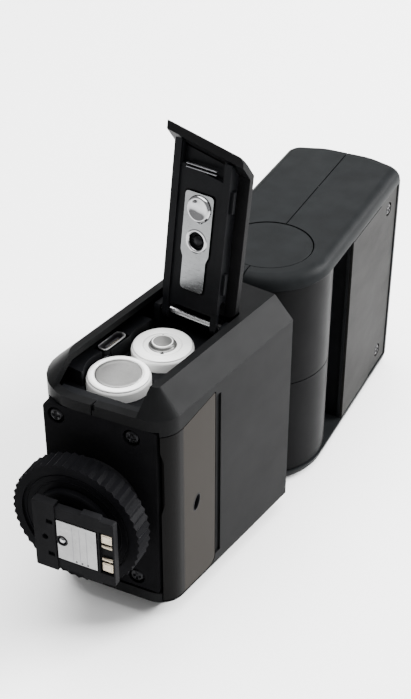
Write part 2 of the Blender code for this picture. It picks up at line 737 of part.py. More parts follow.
def shoe_foot():
    """Neck, foot plate with its wide rear block, and the recesses for the contacts."""
    plate = prism("shoe_foot", rounded_outline([
        (FOOT_REAR, -FOOT_HALF, 0.4), (-1.5, -FOOT_HALF, 0.0), (-1.5, -8.5, 0.0), (4.8, -8.5, 0.0),
        (4.8, -FOOT_HALF, 0.0), (9.1, -FOOT_HALF, 0.0), (9.3, -8.7, 0.0), (FOOT_FRONT, -8.7, 0.5),
        (FOOT_FRONT, 8.7, 0.5), (9.3, 8.7, 0.0), (9.1, FOOT_HALF, 0.0), (4.8, FOOT_HALF, 0.0),
        (4.8, 8.5, 0.0), (-1.5, 8.5, 0.0), (-1.5, FOOT_HALF, 0.0), (FOOT_REAR, FOOT_HALF, 0.4),
    ], 3), FOOT_LOW, FOOT_HIGH, SHOE)
    neck = rod("foot_neck", NECK_RADIUS, (0, 0, -1.0), (0, 0, FOOT_LOW + 0.5), SHOE, 40)
    flange = rod("foot_flange", 11.5, (0, 0, 0.0), (0, 0, 1.6), SHOE, 40)
    anchor = rod("foot_anchor", 5.6, (0, 0, -2.9), (0, 0, -0.8), SHOE, 32)
    join(plate, neck, flange, anchor)
    step = block("foot_step", (-1.5, -12.0, FOOT_HIGH - 0.35), (20.0, 12.0, 20.0), SHOE)
    plate_bed = block("plate_bed", (-1.6, -6.0, FOOT_HIGH - 0.95), (8.6, 5.5, 20.0), SHOE)
    pad_bed = block("pad_bed", (9.0, -6.0, FOOT_HIGH - 1.1), (12.2, 5.6, 20.0), SHOE)
    pin_hole = rod("pin_hole", 1.35, (-0.1, -0.3, 6.0), (-0.1, -0.3, 20.0), SHOE, 20)
    tools = [step, plate_bed, pad_bed, pin_hole, rod("block_hole", 0.75, (-4.2, -0.4, 14.2), (-4.2, -0.4, 20.0), SHOE, 16)]
    for tag, w in (("a", 4.3), ("b", -4.9)):
        tools.append(block("block_recess_" + tag, (-3.7, w - 0.6, 14.5), (-2.1, w + 0.6, 20.0), SHOE))
    cut(plate, *tools)
    return finish(plate, BLACK, 0.4)


def foot_contacts():
    plate = block("contact_plate", (-1.35, -5.7, FOOT_HIGH - 0.85), (8.3, 5.2, FOOT_HIGH - 0.25), SHOE)
    cut(plate, rod("plate_pin_hole", 1.35, (-0.1, -0.3, 10.0), (-0.1, -0.3, 20.0), SHOE, 20))
    finish(plate, STEEL, 0.35, 1.0)
    for index, (middle, half) in enumerate(((3.9, 1.15), (1.7, 0.35), (-1.9, 0.35), (-4.0, 1.15))):
        pad = block("contact_pad_%d" % (index + 1), (9.5, middle - half, FOOT_HIGH - 1.05),
                    (11.9, middle + half, FOOT_HIGH - 0.55), SHOE)
        finish(pad, GOLD, 0.3, 1.0)


def lock_wheel():
    """Knurled ring that turns round the neck."""
    points = []
    count = WHEEL_RIDGES * 2
    for step in range(count):
        angle = 2.0 * math.pi * step / count
        radius = WHEEL_RADIUS if step % 2 == 0 else WHEEL_RADIUS - 0.5
        points.append((radius * math.cos(angle), radius * math.sin(angle)))
    wheel = prism("lock_wheel", points, WHEEL_LOW, WHEEL_HIGH, SHOE)
    bore = rod("wheel_bore", NECK_RADIUS + 0.6, (0, 0, 0), (0, 0, 20), SHOE, 40)
    face = rod("wheel_face", 13.4, (0, 0, WHEEL_HIGH - 0.6), (0, 0, 20), SHOE, 48)
    cut(wheel, bore, face)
    return finish(wheel, BLACK, 0.5)


def lock_parts():
    collar = turned("lock_collar", [(8.9, 10.9), (9.6, 10.5), (9.6, 9.2), (6.7, 9.2), (6.7, 10.9)],
                    SHOE, closed=True, steps=40)
    finish(collar, BLACK, 0.45, 0.0, True)
    pin = turned("lock_pin", [(0.0, 15.05), (0.55, 14.95), (0.95, 14.5), (0.95, 8.5), (0.0, 8.5)], SHOE, steps=20)
    pin.location = (-0.1 * MM, -0.3 * MM, 0.0)
    finish(pin, STEEL, 0.2, 1.0, True)


# ---------------------------------------------------------------- controls on the back face

def controls():
    back = -BODY_HALF_THICK
    lens = prism("display_lens", rounded_outline([
        (-25.0, 13.0, 1.0), (-25.0, 49.4, 1.0), (-5.0, 49.4, 1.0), (-5.0, 13.0, 1.0),
    ], 3), back - 0.15, back + 0.9, axis="X")
    finish(lens, (0.01, 0.01, 0.012), 0.08)
    for index in range(3):
        z = MID_Z + (index - 1) * BUTTON_SPREAD
        button = prism("mode_button_%d" % (index + 1), rounded_outline([
            (BUTTON_ROW_Y - 1.8, z - 3.8, 0.8), (BUTTON_ROW_Y - 1.8, z + 3.8, 0.8),
            (BUTTON_ROW_Y + 1.8, z + 3.8, 0.8), (BUTTON_ROW_Y + 1.8, z - 3.8, 0.8),
        ], 3), back - 0.8, back + 2.1, axis="X")
        finish(button, CHARCOAL, 0.5)
    dial = rod("select_dial", DIAL_RADIUS, (back + 2.3, DIAL_Y, MID_Z), (back - 1.1, DIAL_Y, MID_Z), None, 48)
    cut(dial, rod("dial_bore", 3.3, (back + 3.0, DIAL_Y, MID_Z), (back - 4.0, DIAL_Y, MID_Z), None, 24))
    finish(dial, CHARCOAL, 0.4)
    finish(rod("set_button", 3.0, (back + 2.2, DIAL_Y, MID_Z), (back - 0.8, DIAL_Y, MID_Z), None, 24), CHARCOAL, 0.5, 0.0, True)
    test_z = MID_Z + 15.3
    finish(rod("test_button", 2.4, (back + 2.2, DIAL_Y, test_z), (back - 0.7, DIAL_Y, test_z), None, 24), CHARCOAL, 0.4, 0.0, True)
    power = block("power_slider", (back - 1.0, DIAL_Y - 1.2, MID_Z - 19.0), (back + 2.0, DIAL_Y + 1.2, MID_Z - 15.4))
    finish(power, CHARCOAL, 0.5)


# ---------------------------------------------------------------- barrel between body and head

def barrel_half(name, low, high, end_low):
    """One half of the barrel with half of the neck tube that turns in the body."""
    half = rod(name, BARREL_RADIUS, (PIVOT_X, PIVOT_Y, low), (PIVOT_X, PIVOT_Y, high), None, 64)
    neck = rod(name + "_neck", NECK_TUBE, (PIVOT_X, -4.9, MID_Z), (PIVOT_X, PIVOT_Y, MID_Z), None, 40)
    keep(neck, block(name + "_side", (-30, -10, low), (30, 40, high)))
    join(half, neck)
    inner_low = low + 1.8 if end_low else low - 5.0
    inner_high = high + 5.0 if end_low else high - 1.8
    hollow = rod(name + "_hollow", BARREL_RADIUS - 1.8, (PIVOT_X, PIVOT_Y, inner_low), (PIVOT_X, PIVOT_Y, inner_high), None, 64)
    passage = rod(name + "_passage", NECK_TUBE - 2.0, (PIVOT_X, -8.0, MID_Z), (PIVOT_X, PIVOT_Y, MID_Z), None, 32)
    groove = turned_ring(name + "_groove", NECK_TUBE - 0.9, NECK_TUBE + 3.0, -4.1, -2.1)
    cut(half, hollow, passage, groove)
    return finish(half, CHARCOAL, 0.42, 0.0, True)


def turned_ring(name, inner, outer, low_y, high_y):
    """A square-section ring round the swivel axis."""
    ring = turned(name, [(outer, high_y), (outer, low_y), (inner, low_y), (inner, high_y)], closed=True, steps=40)
    ring.rotation_euler = (-math.pi / 2.0, 0.0, 0.0)
    ring.location = (PIVOT_X * MM, 0.0, MID_Z * MM)
    return ring


def barrel_parts():
    top = BODY_WIDTH - BARREL_LOW
    barrel_half("barrel_lower", BARREL_LOW, MID_Z - GAP / 2, True)
    barrel_half("barrel_upper", MID_Z + GAP / 2, top, False)
    collar = turned_ring("swivel_collar", NECK_TUBE + GAP, 13.0, 0.3, 1.6)
    finish(collar, BLACK, 0.45)
    clip = turned_ring("swivel_clip", NECK_TUBE - 0.6, 12.4, -3.8, -2.4)
    gap = block("clip_gap", (PIVOT_X - 3.0, -6.0, 0.0), (PIVOT_X + 3.0, 0.0, MID_Z))
    cut(clip, gap)
    finish(clip, STEEL, 0.3, 1.0)
    for name, low, high in (("pivot_cap_lower", 0.1, BARREL_LOW - 0.3), ("pivot_cap_upper", top + 0.3, BODY_WIDTH - 0.1)):
        cap = rod(name, CAP_RADIUS, (PIVOT_X, PIVOT_Y, low), (PIVOT_X, PIVOT_Y, high), None, 56)
        finish(cap, CHARCOAL, 0.4)
    capacitor = rod("main_capacitor", 7.6, (PIVOT_X, PIVOT_Y + 3.0, 9.0), (PIVOT_X, PIVOT_Y + 3.0, 53.0), None, 32)
    finish(capacitor, (0.01, 0.01, 0.02), 0.35, 0.0, True)


# ---------------------------------------------------------------- flash head, in the tilt frame

def head_ring(inset):
    """Plan outline of the head: round near end, bowed far end, moved inwards by inset."""
    half = HEAD_HALF - inset
    reach = HEAD_REACH - inset * 0.3
    corner = HEAD_CORNER - inset * 0.3
    ring = rounded_outline([
        (half, 0.0, 0.0), (half, corner, 2.4), (6.5, reach, 12.0),
        (-6.5, reach, 12.0), (-half, corner, 2.4), (-half, 0.0, 0.0),
    ], 5)
    for step in range(1, 28):
        angle = math.pi + math.pi * step / 28
        ring.append((half * math.cos(angle), half * math.sin(angle)))
    return ring


def head_solid(name):
    """Outer form of the head with rounded long rims, lofted through stacked outlines."""
    steps = 4
    low = []
    high = []
    for step in range(steps + 1):
        angle = 0.5 * math.pi * step / steps
        ring = head_ring(HEAD_ROUND * (1.0 - math.sin(angle)))
        level = HEAD_ROUND * (1.0 - math.cos(angle))
        low.append((ring, level))
        high.append((ring, BODY_WIDTH - level))
    return loft(name, low + high[::-1], HEAD)


def head_cutters():
    low = CHEEK
    high = BODY_WIDTH - CHEEK
    return [
        block("head_cavity", (-14.9, BULKHEAD - 1.0, WALL), (14.9, 80.0, BODY_WIDTH - WALL), HEAD),
        rod("barrel_room", BARREL_RADIUS + 0.55, (0, 0, low), (0, 0, high), HEAD, 64),
        block("open_side", (-20.0, -25.0, low), (20.0, 9.0, high), HEAD),
        block("clear_middle", (-14.9, 0.0, low), (14.9, BULKHEAD, high), HEAD),
        rod("cap_hole", CAP_RADIUS + GAP, (0, 0, -5.0), (0, 0, 80.0), HEAD, 56),
    ]


def head_shells():
    shared = head_cutters()
    back = head_solid("head_back_shell")
    cut(back, *shared)
    keep(back, block("head_back_half", (-40, -40, -5), (-GAP / 2, 90, 80), HEAD))
    finish(back, CHARCOAL, 0.42)
    front = head_solid("head_front_shell")
    low = CHEEK
    high = BODY_WIDTH - CHEEK
    tools = [
        block("front_slot", (4.0, -25.0, low), (25.0, SLOT_END, high), HEAD),
        block("label_bed", (HEAD_HALF - 0.8, SLOT_END - 1.0, low + 0.2), (25.0, STRIP_START, high - 0.2), HEAD),
        block("strip_recess", (HEAD_HALF - 1.0, STRIP_START - 0.1, low + 0.2), (25.0, STRIP_END, high - 0.2), HEAD),
    ]
    for tag, z in (("low", 8.7), ("high", BODY_WIDTH - 8.2)):
        tools.append(rod("strip_bore_" + tag, 1.2, (10.0, 43.4, z), (20.0, 43.4, z), HEAD, 16))
    cut(front, *shared, *tools)
    keep(front, block("head_front_half", (GAP / 2, -40, -5), (40, 90, 80), HEAD))
    finish(front, CHARCOAL, 0.42)
    bulkhead = block("head_bulkhead", (-14.6, BULKHEAD, WALL + GAP), (14.6, BULKHEAD + 1.5, BODY_WIDTH - WALL - GAP), HEAD)
    finish(bulkhead, BLACK, 0.5)


def head_panels():
    low = CHEEK + 0.5
    high = BODY_WIDTH - CHEEK - 0.5
    label = block("label_panel", (HEAD_HALF - 0.75, SLOT_END + 0.05, low), (HEAD_HALF - 0.05, STRIP_START - 0.3, high), HEAD)
    finish(label, BROWN_GREY, 0.4)
    strip = block("strip_plate", (HEAD_HALF - 0.95, STRIP_START + 0.1, low), (HEAD_HALF - 0.25, STRIP_END - 0.3, high), HEAD)
    for tag, z in (("low", 8.7), ("high", BODY_WIDTH - 8.2)):
        cut(strip, rod("strip_seat_" + tag, 1.9, (12.0, 43.4, z), (20.0, 43.4, z), HEAD, 20))
    finish(strip, BROWN_GREY, 0.35)
    for index, z in enumerate((8.7, BODY_WIDTH - 8.2)):
        name = "strip_screw_%d" % (index + 1)
        screw = turned(name, [(0.0, 0.75), (1.2, 0.7), (1.6, 0.4), (1.6, 0.05), (0.9, 0.05), (0.9, -3.6), (0.0, -4.0)], HEAD, steps=20)
        screw.rotation_euler = (0.0, math.pi / 2.0, 0.0)
        screw.location = ((HEAD_HALF - 1.0) * MM, 43.4 * MM, z * MM)
        cut(screw, *cross_recess(name + "_cross", (HEAD_HALF - 0.25, 43.4, z), 0.4, 2.0, HEAD, "X"))
        finish(screw, (0.05, 0.05, 0.055), 0.35, 0.8, True)


def head_optics():
    edge = HEAD_CORNER - 0.6
    bezel = prism("lens_bezel", [
        (14.6, 49.0), (14.6, edge), (6.5, HEAD_REACH - 0.5), (-6.5, HEAD_REACH - 0.5), (-14.6, edge), (-14.6, 49.0),
    ], WALL + GAP, BODY_WIDTH - WALL - GAP, HEAD)
    window = block("bezel_window", (-10.5, 40.0, 6.2), (11.6, 60.0, BODY_WIDTH - 6.2), HEAD)
    slots = block("bezel_slots", (-13.6, 40.0, 6.9), (-11.1, 60.0, BODY_WIDTH - 6.9), HEAD)
    cut(bezel, window, slots)
    finish(bezel, BLACK, 0.4)
    low = 7.4
    high = BODY_WIDTH - 7.4
    lens = block("fresnel_lens", (-10.2, 50.4, 6.5), (11.3, 52.6, BODY_WIDTH - 6.5), HEAD)
    finish(lens, (0.8, 0.85, 0.85), 0.15)
    finish(block("wide_panel", (-13.3, 20.0, low), (-12.4, HEAD_CORNER - 0.2, high), HEAD), (0.8, 0.82, 0.82), 0.2)
    finish(block("bounce_card", (-12.0, 20.0, low), (-11.4, HEAD_CORNER - 0.2, high), HEAD), WHITE, 0.5)
    reflector()
    tube = rod("flash_tube", 1.6, (0.6, 34.0, 9.0), (0.6, 34.0, BODY_WIDTH - 9.0), HEAD, 20)
    finish(tube, (0.8, 0.85, 0.9), 0.1, 0.0, True)


def reflector():
    """A bright trough behind the lens, a thick parabola in section."""
    outer = []
    inner = []
    for step in range(-8, 9):
        x = step / 8.0
        depth = 29.8 + 19.0 * x * x
        outer.append((0.6 + 10.2 * x, depth - (0.8 if abs(step) < 8 else 0.0)))
        inner.append((0.6 + 9.4 * x, depth))
    trough = prism("reflector", outer + inner[::-1], 8.0, BODY_WIDTH - 8.0, HEAD)
    return finish(trough, STEEL, 0.1, 1.0)


# ---------------------------------------------------------------- build

def place_origin():
    """Move everything so that the origin lies under the middle of the object's box."""
    for group in (PARTS, CUTTERS):
        for obj in group.objects:
            if obj.parent is None:
                obj.location += Vector(ORIGIN_SHIFT) * MM


clear_scene()
PARTS = make_collection(ASSEMBLY)
CUTTERS = make_collection("cutters")
SHOE = frame_empty("shoe_frame", (0.0, -BODY_LENGTH, MID_Z), (math.pi / 2.0, 0.0, FOOT_SLANT))
DOOR = frame_empty("door_frame_axis", (0.0, HINGE_Y, HINGE_Z), (-DOOR_ANGLE, 0.0, 0.0))
HEAD = frame_empty("head_frame", (PIVOT_X, PIVOT_Y, 0.0), (0.0, 0.0, FOOT_SLANT))

shared_tools = shell_cutters()
front_shell(shared_tools)
back_shell(shared_tools)
sensor_window(shared_tools)
end_plate()
end_screws()
battery_tray()
tray_screw()
charge_socket()
cell("cell_near", CELL_NEAR, False)
cell("cell_far", CELL_FAR, True)
cell_spring()
inner_boards()
door_skin()
door_frame()
door_contact()
hinge_pin()
shoe_foot()
foot_contacts()
lock_wheel()
lock_parts()
controls()
barrel_parts()
head_shells()
head_panels()
head_optics()
place_origin()
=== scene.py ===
"""Looks for the compact shoe-mount flash: materials, fine pieces, lights and camera."""

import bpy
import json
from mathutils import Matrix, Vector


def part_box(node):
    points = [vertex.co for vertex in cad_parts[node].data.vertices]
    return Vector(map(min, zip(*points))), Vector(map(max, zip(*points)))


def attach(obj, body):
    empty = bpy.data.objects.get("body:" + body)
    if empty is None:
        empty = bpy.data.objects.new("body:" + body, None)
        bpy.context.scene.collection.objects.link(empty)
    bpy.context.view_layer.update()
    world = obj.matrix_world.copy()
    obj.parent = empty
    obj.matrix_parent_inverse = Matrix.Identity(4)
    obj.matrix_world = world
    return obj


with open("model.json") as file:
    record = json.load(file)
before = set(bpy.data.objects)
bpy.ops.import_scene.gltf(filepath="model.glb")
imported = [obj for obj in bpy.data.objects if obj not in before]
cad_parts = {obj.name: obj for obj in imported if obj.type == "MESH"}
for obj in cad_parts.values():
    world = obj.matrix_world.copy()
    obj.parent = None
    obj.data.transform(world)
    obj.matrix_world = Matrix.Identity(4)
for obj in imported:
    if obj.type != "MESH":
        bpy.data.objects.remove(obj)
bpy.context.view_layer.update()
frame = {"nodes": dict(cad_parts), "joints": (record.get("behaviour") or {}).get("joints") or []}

import json
import math

import bmesh
import bpy
from mathutils import Matrix, Vector

MM = 0.001
TO_MM = 1000.0
WHEEL_JOINT_HEIGHT = 7.0 * MM
JOINTS = {joint["name"]: joint for joint in frame["joints"]}
NODES = frame["nodes"]


# ---------------------------------------------------------------- local frames

def joint_point(name):
    return Vector(JOINTS[name]["pos_m"])


def axes_matrix(x_axis, y_axis, z_axis, origin):
    rotation = Matrix((x_axis, y_axis, z_axis)).transposed().to_4x4()
    return Matrix.Translation(origin) @ rotation


def body_frame():
    """Origin at the body's head end, on its middle plane, on the resting plane."""
    low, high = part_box("front_shell")
    split = 0.5 * (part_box("back_shell")[1].x + low.x)
    return Matrix.Translation((split, high.y, low.z))


def shoe_frame():
    """Origin in the slanted end plane, X across the foot, Y up, Z outwards."""
    outward = Vector(JOINTS["wheel_turn"]["axis"]).normalized()
    up = Vector((0.0, 0.0, 1.0))
    origin = joint_point("wheel_turn") - outward * WHEEL_JOINT_HEIGHT
    return axes_matrix(up.cross(outward), up, outward, origin)


def door_frame():
    """Origin on the hinge axis, -Y towards the door's free end, Z out of its outer face."""
    free_end = Vector(JOINTS["door_slide"]["axis"]).normalized()
    across = Vector((1.0, 0.0, 0.0))
    return axes_matrix(across, -free_end, across.cross(-free_end), joint_point("door_hinge_turn"))


def head_frame():
    """Origin on the tilt axis at the resting plane, Y along the head, X to its front side."""
    along = Vector(JOINTS["diffuser_pull"]["axis"]).normalized()
    up = Vector((0.0, 0.0, 1.0))
    pivot = joint_point("head_tilt")
    return axes_matrix(along.cross(up), along, up, Vector((pivot.x, pivot.y, 0.0)))


BODY = body_frame()
SHOE = shoe_frame()
DOOR = door_frame()
HEAD = head_frame()
WORLD = Matrix.Identity(4)
WIDTH = (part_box("front_shell")[1].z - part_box("front_shell")[0].z) / MM

# Turns of a drawing plane onto the body's front side (+X) and its back side (-X), with Y up.
ONTO_FRONT = axes_matrix((0.0, 1.0, 0.0), (0.0, 0.0, 1.0), (1.0, 0.0, 0.0), (0.0, 0.0, 0.0))
ONTO_BACK = axes_matrix((0.0, -1.0, 0.0), (0.0, 0.0, 1.0), (-1.0, 0.0, 0.0), (0.0, 0.0, 0.0))


# ---------------------------------------------------------------- node materials

class Graph:
    """Small helper for building a node material."""

    def __init__(self, name):
        self.material = bpy.data.materials.new(name)
        self.material.use_nodes = True
        self.tree = self.material.node_tree
        self.shader = self.tree.nodes["Principled BSDF"]
        self.coords = self.tree.nodes.new("ShaderNodeTexCoord").outputs["Object"]

    def node(self, kind, **settings):
        node = self.tree.nodes.new(kind)
        for key, value in settings.items():
            setattr(node, key, value)
        return node

    def link(self, source, target):
        self.tree.links.new(source, target)

    def set(self, **values):
        for key, value in values.items():
            socket = self.shader.inputs[key.replace("_", " ")]
            socket.default_value = value

    def noise(self, scale, detail=3.0, roughness=0.55, stretch=None):
        node = self.node("ShaderNodeTexNoise")
        node.inputs["Scale"].default_value = scale
        node.inputs["Detail"].default_value = detail
        node.inputs["Roughness"].default_value = roughness
        self.link(self.stretched(stretch) if stretch else self.coords, node.inputs["Vector"])
        return node.outputs["Fac"]

    def stretched(self, stretch):
        mapping = self.node("ShaderNodeMapping")
        mapping.inputs["Scale"].default_value = stretch
        self.link(self.coords, mapping.inputs["Vector"])
        return mapping.outputs["Vector"]

    def ramp(self, source, stops):
        node = self.node("ShaderNodeValToRGB")
        elements = node.color_ramp.elements
        while len(elements) < len(stops):
            elements.new(0.5)
        for element, (place, colour) in zip(elements, stops):
            element.position = place
            channels = colour if isinstance(colour, tuple) else (colour,) * 3
            element.color = (*channels, 1.0)
        self.link(source, node.inputs["Fac"])
        return node.outputs["Color"]

    def bump(self, source, strength, distance, chain=None):
        node = self.node("ShaderNodeBump")
        node.inputs["Strength"].default_value = strength
        node.inputs["Distance"].default_value = distance
        self.link(source, node.inputs["Height"])
        if chain is not None:
            self.link(chain, node.inputs["Normal"])
        return node.outputs["Normal"]

    def math(self, operation, first, second):
        node = self.node("ShaderNodeMath", operation=operation)
        for socket, value in zip(node.inputs, (first, second)):
            if isinstance(value, (int, float)):
                socket.default_value = value
            else:
                self.link(value, socket)
        return node.outputs[0]

    def wire(self, source, socket):
        self.link(source, self.shader.inputs[socket])

    def wire_ramp(self, source, socket, stops):
        self.wire(self.ramp(source, stops), socket)


SATIN_IOR = 1.06
SHALLOW = 0.00001
DEEP = 0.00002


def tint(colour, factor):
    return tuple(min(1.0, channel * factor) for channel in colour)


def plastic(name, colour, roughness, grain=6500.0, strength=0.35, spread=0.14, coat=0.0,
            specular=0.9, ior=SATIN_IOR):
    """Moulded plastic: fine spark-eroded grain, faint mottling and handling marks."""
    graph = Graph(name)
    mottle = graph.noise(190.0, 4.0)
    tones = [(0.32, tint(colour, 1.0 - spread)), (0.68, tint(colour, 1.0 + spread))]
    graph.wire_ramp(mottle, "Base Color", tones)
    smears = graph.noise(90.0, 5.0, 0.7, (1.0, 0.35, 1.0))
    graph.wire_ramp(smears, "Roughness", [(0.3, roughness * 0.88), (0.7, min(1.0, roughness * 1.14))])
    fine = graph.bump(graph.noise(grain, 2.0, 0.6), strength, DEEP)
    graph.wire(graph.bump(graph.noise(420.0, 2.0), 0.12, DEEP, fine), "Normal")
    graph.set(Coat_Weight=coat, Specular_IOR_Level=specular, IOR=ior)
    return graph.material


def metal(name, colour, roughness, stretch=(1.0, 1.0, 1.0), strength=0.12):
    """Metal with fine directional brushing and a little tarnish."""
    graph = Graph(name)
    cloud = graph.noise(240.0, 4.0)
    graph.wire_ramp(cloud, "Base Color", [(0.3, tint(colour, 0.86)), (0.7, tint(colour, 1.06))])
    brushed = graph.noise(3500.0, 3.0, 0.6, stretch)
    graph.wire_ramp(brushed, "Roughness", [(0.3, roughness * 0.75), (0.7, min(1.0, roughness * 1.35))])
    graph.wire(graph.bump(brushed, strength, SHALLOW), "Normal")
    graph.set(Metallic=1.0)
    return graph.material


def display_cover():
    """Polished dark lens cover with faint dust in the gloss."""
    colour = (0.0022, 0.0023, 0.003)
    roughness = 0.07
    graph = Graph("lens_black")
    tones = [(0.3, tint(colour, 0.88)), (0.7, tint(colour, 1.12))]
    graph.wire_ramp(graph.noise(120.0, 3.0), "Base Color", tones)
    dust = graph.noise(2600.0, 4.0, 0.7)
    graph.wire_ramp(dust, "Roughness", [(0.4, roughness * 0.8), (0.75, roughness * 1.4)])
    graph.wire(graph.bump(graph.noise(300.0, 2.0), 0.05, DEEP), "Normal")
    graph.set(Coat_Weight=0.0, Coat_Roughness=0.08, Specular_IOR_Level=0.5, IOR=1.22)
    return graph.material


def smoked_window_with_painted_shade():
    """Smoked infra-red window: brown-grey on its flat front, and black where it turns the corner: painted
    shade on the side turned away from the lights.
    """
    # Colour of the painted shade on the window's corner towards the end plate.
    black = (0.0022, 0.0021, 0.0021)
    brown_grey = (0.0115, 0.0098, 0.0080)
    corner_depth = 0.0062
    fade = 1.0
    graph = Graph("window_smoke_and_painted_shade")
    turn = (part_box("sensor_window")[0].y + corner_depth) * TO_MM
    axes = graph.node("ShaderNodeSeparateXYZ")
    graph.link(graph.coords, axes.inputs[0])
    place = graph.math("SUBTRACT", graph.math("MULTIPLY", axes.outputs["Y"], TO_MM), turn - fade)
    wander = graph.math("MULTIPLY", graph.noise(60.0, 3.0), 0.35)
    # Painted shade: the base colour runs from brown-grey to black over the last millimetres towards the
    # end plate, where the corner faces away from the lights.
    graph.wire_ramp(graph.math("ADD", place, wander), "Base Color", [(0.1, black), (0.9, brown_grey)])
    graph.wire_ramp(graph.noise(150.0, 4.0), "Roughness", [(0.3, 0.2), (0.7, 0.27)])
    graph.wire(graph.bump(graph.noise(300.0, 2.0), 0.05, DEEP), "Normal")
    graph.set(IOR=1.09, Specular_IOR_Level=0.5)
    return graph.material


def clear(name, colour, roughness):
    """Clear moulded plastic."""
    graph = Graph(name)
    graph.wire_ramp(graph.noise(90.0, 2.0), "Base Color", [(0.3, tint(colour, 0.96)), (0.7, colour)])
    graph.wire_ramp(graph.noise(900.0, 3.0), "Roughness", [(0.3, roughness * 0.8), (0.7, roughness * 1.3)])
    graph.set(Transmission_Weight=0.92, IOR=1.49)
    return graph.material


def board():
    """Lacquered circuit board with a faint weave."""
    graph = Graph("board_green")
    greens = [(0.4, (0.01, 0.09, 0.04)), (0.6, (0.02, 0.14, 0.06))]
    graph.wire_ramp(graph.noise(700.0, 3.0), "Base Color", greens)
    graph.wire(graph.bump(graph.noise(5000.0, 2.0), 0.2, SHALLOW), "Normal")
    graph.set(Roughness=0.35)
    return graph.material


LOOKS = {
    "shell": plastic("shell_satin", (0.0038, 0.0039, 0.0041), 0.40),
    "end": plastic("end_matte", (0.0036, 0.0036, 0.004), 0.5, specular=0.2),
    "head": plastic("head_satin", (0.0062, 0.0068, 0.0072), 0.42),
    "door": plastic("door_satin", (0.0042, 0.0042, 0.0045), 0.36),
    "inner": plastic("inner_black", (0.0034, 0.0036, 0.0042), 0.40, spread=0.2, specular=0.5, ior=1.12),
    "foot": plastic("foot_black", (0.0055, 0.0055, 0.006), 0.36, grain=4200.0, specular=0.4),
    "wheel": plastic("wheel_black", (0.0030, 0.0030, 0.0035), 0.36, grain=4200.0, specular=0.35),
    "window": smoked_window_with_painted_shade(),
    "panel": plastic("panel_brown_grey", (0.0075, 0.0073, 0.0070), 0.38, specular=0.45),
    "lens_black": display_cover(),
    "steel": metal("steel_brushed", (0.50, 0.50, 0.51), 0.28, (1.0, 0.06, 1.0)),
    "bright": metal("steel_bright", (0.17, 0.174, 0.178), 0.22, (0.2, 1.0, 1.0), strength=0.05),
    "satin": metal("steel_satin", (0.36, 0.36, 0.36), 0.5, strength=0.05),
    "mirror": metal("steel_mirror", (0.34, 0.34, 0.35), 0.12, strength=0.03),
    "cell_metal": metal("cell_metal", (0.19, 0.19, 0.186), 0.42, strength=0.08),
    "score": metal("steel_shadow", (0.16, 0.16, 0.17), 0.4),
    "plate": metal("plate_brushed", (0.22, 0.22, 0.22), 0.36, (0.05, 1.0, 1.0)),
    "gold": metal("contact_gold", (0.30, 0.26, 0.20), 0.3, strength=0.06),
    "screw": metal("screw_black", (0.012, 0.012, 0.013), 0.38),
    "jacket": plastic("cell_jacket", (0.78, 0.78, 0.77), 0.34, grain=2500.0, strength=0.05,
                      spread=0.03, coat=0.3, ior=1.45),
    "card": plastic("card_white", (0.82, 0.82, 0.81), 0.55, spread=0.03, ior=1.45),
    "print": plastic("print_pale", (0.42, 0.42, 0.42), 0.5, spread=0.04),
    "clear": clear("lens_clear", (0.92, 0.94, 0.94), 0.08),
    "glass": clear("tube_glass", (0.95, 0.96, 0.97), 0.03),
    "board": board(),
}

LOOK_NODES = {
    "shell": ("front_shell", "back_shell", "barrel_lower", "barrel_upper", "select_dial", "set_button",
              "test_button", "power_slider", "mode_button_1", "mode_button_2", "mode_button_3"),
    "end": ("end_plate",),
    "head": ("head_front_shell", "head_back_shell", "pivot_cap_lower", "pivot_cap_upper"),
    "door": ("door_skin",),
    "inner": ("swivel_collar", "battery_tray", "door_frame", "head_bulkhead", "lens_bezel",
              "main_capacitor"),
    "foot": ("shoe_foot",),
    "wheel": ("lock_wheel", "lock_collar"),
    "window": ("sensor_window",),
    "panel": ("label_panel", "strip_plate"),
    "lens_black": ("sensor_lens", "display_lens"),
    "clear": ("fresnel_lens", "wide_panel"),
    "glass": ("flash_tube",),
    "card": ("bounce_card",),
    "jacket": ("cell_near", "cell_far"),
    "plate": ("contact_plate",),
    "score": ("charge_socket",),
    "steel": ("cell_spring", "cell_contact", "hinge_pin", "swivel_clip", "tray_screw"),
    "bright": ("lock_pin", "door_contact", "reflector"),
    "gold": ("contact_pad_1", "contact_pad_2", "contact_pad_3", "contact_pad_4"),
    "board": ("control_board", "power_board"),
    "screw": ("end_screw_1", "end_screw_2", "end_screw_3", "end_screw_4", "strip_screw_1",
              "strip_screw_2"),
}
NODE_LOOK = {node: look for look, nodes in LOOK_NODES.items() for node in nodes}


# ---------------------------------------------------------------- CAD nodes: edges and materials

# Width of the softened edges in millimetres; a node that is not named keeps its sharp edges.
WIDTH_NODES = {
    0.06: ("charge_socket",),
    0.08: ("contact_plate",),
    0.1: ("door_contact", "hinge_pin"),
    0.12: ("label_panel", "strip_plate"),
    0.15: ("battery_tray", "pivot_cap_upper", "pivot_cap_lower", "lock_collar"),
    0.18: ("door_frame",),
    0.2: ("end_plate", "lock_wheel", "sensor_window", "display_lens", "swivel_collar"),
    0.25: ("head_front_shell", "head_back_shell", "shoe_foot", "power_slider", "barrel_upper",
           "barrel_lower"),
    0.3: ("lens_bezel", "set_button", "test_button", "mode_button_1", "mode_button_2",
          "mode_button_3"),
    0.35: ("select_dial",),
    0.7: ("front_shell", "back_shell"),
    0.8: ("door_skin",),
}
EDGE_WIDTH = {node: width for width, nodes in WIDTH_NODES.items() for node in nodes}
WELD_DISTANCE = 0.01 * MM
FLAT_ANGLE = math.radians(1.0)
NODE_EDGE_ANGLE = math.radians(32)
PIECE_EDGE_ANGLE = math.radians(40)


def soften_edges(obj, width, angle):
    """Bevel the edges sharper than an angle; the width is in millimetres."""
    bevel = obj.modifiers.new("edge", "BEVEL")
    bevel.width = width * MM
    bevel.segments = 2
    bevel.limit_method = "ANGLE"
    bevel.angle_limit = angle


